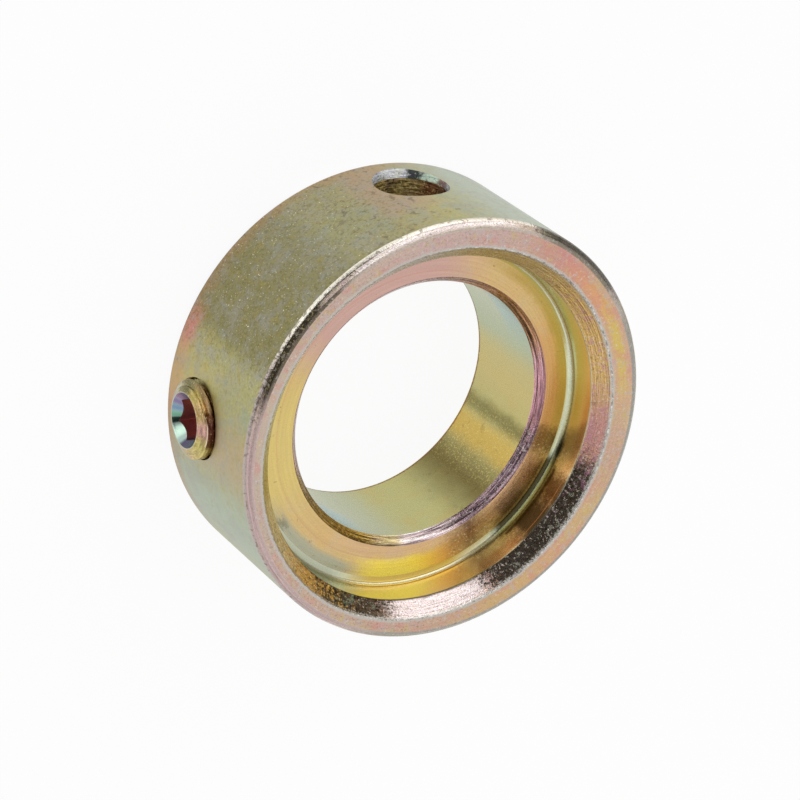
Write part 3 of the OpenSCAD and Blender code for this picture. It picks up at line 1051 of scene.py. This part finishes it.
            (207, 22, 8, "d4f4d8", 0.8), (236, 11, 4, "2c3c34", 0.92), (182, 12, 5, "8c5848", 0.8)],
        "spots": [(3.0, 0.56, 0.08, "5c5060", 0.7), (4.5, 0.56, 0.08, "ffffff", 0.7)],
    },
    "tapped": {
        "about": "screw", "tints": ("a4875e", "8c7a50", "b08a70"), "mottle": 0.12, "grain": 0.6,
        "bump": 0.015, "roughness": 0.30,
        "spots": [(3.6, 0.56, 0.08, "4c3c2c", 0.5), (5.0, 0.58, 0.08, "f0d8a0", 0.5)],
    },
    "screw_thread": {
        "about": "screw", "across": (0, 1), "tints": ("c8b070", "c8a084", "b4a86c"), "grain": 0.8,
        "rings": 1.2, "ringShade": 0.35, "bump": 0.024, "roughness": 0.30,
        "patches": [
            (184, 14, 12, "d09ca0", 0.75), (148, 18, 14, "c4b870", 0.7),
            (220, 12, 8, "dcb880", 0.7), (250, 12, 8, "a89c58", 0.7), (284, 20, 8, "848458", 0.8),
            # the dark red-brown band at 185 degrees below the chamfer's foot is a painted shadow of
            # the thread's groove
            (15, 62, 18, "b4c0b4", 0.85), (185, 28, 6, "5c2820", 0.85, -99, chamferFoot, 0.03),
            (240, 26, 8, "94745c", 0.6, -99, chamferFoot - 0.12, 0.05),
            # a painted highlight along the chamfer's edge
            (185, 24, 6, "f8e4c8", 0.9, chamferFoot + 0.01, chamferFoot + 0.04, 0.015)],
        "spots": [(3.2, 0.58, 0.10, "5c4424", 0.3), (5.6, 0.58, 0.08, "f8e8c0", 0.5)],
    },
    "screw_end": {
        "about": "screw", "tints": ("ccb088", "cca898", "c4bc8c"), "mottle": 0.08, "grain": 0.4,
        "bump": 0.008, "roughness": 0.20, "fray": 6.0, "grit": 3.0,
        "wear": [(2.14, 0.12, "c8ccc0", 0.8)],
        "patches": [(20, 60, 20, "b8c0b4", 0.9), (285, 26, 10, "a0a078", 0.8)],
    },
    "screw_mouth": {
        "about": "screw", "tints": ("b8d0c4", "a8c8c4", "c8dccc"), "mottle": 0.06, "grain": 0.2,
        "bump": 0.005, "roughness": 0.32, "fray": 4.0, "grit": 2.0,
        "patches": [
            (300, 24, 8, "9c6c90", 0.9), (334, 10, 9, "9078a8", 0.9), (352, 8, 8, "7c9cbc", 0.9),
            (9, 6, 6, "78b898", 0.85), (21, 6, 2.5, "20342c", 0.95), (48, 14, 5, "d8f8e4", 0.9),
            (112, 34, 6, "5c5470", 0.95)],
    },
    "screw_socket": {
        "about": "screw", "tints": ("e4a898", "c890a0", "d0a090"), "mottle": 0.10, "grain": 0.3,
        "bump": 0.008, "roughness": 0.36, "fray": 3.0, "grit": 1.0,
        "patches": [
            # the lighter facet at 225 degrees and the darker ones at 100, 174 and 290 degrees are
            # painted light and shade on the socket's flats; the thin orange line at 204 degrees is
            # a painted highlight on a corner
            (225, 20, 6, "f0a088", 0.8), (174, 20, 8, "a08088", 0.8), (100, 24, 8, "8c88a0", 0.8),
            (290, 24, 8, "8c5c84", 0.8), (204, 2.6, 1.2, "ffd0a0", 1.0)],
    },
}
finishes = {name: plated(name, facts, plating) for name, facts in finishFacts.items()}
print("finishes:", len(finishes))

makeRing(ring, thread, rounding)
print("ring made")
makeScrew(screw, thread)
print("set screw made")
makeCamera(picture)
makeFloor(picture)
makeRoom(picture)
bpy.context.scene.view_settings.view_transform = "Standard"
print("camera, floor and light placed")
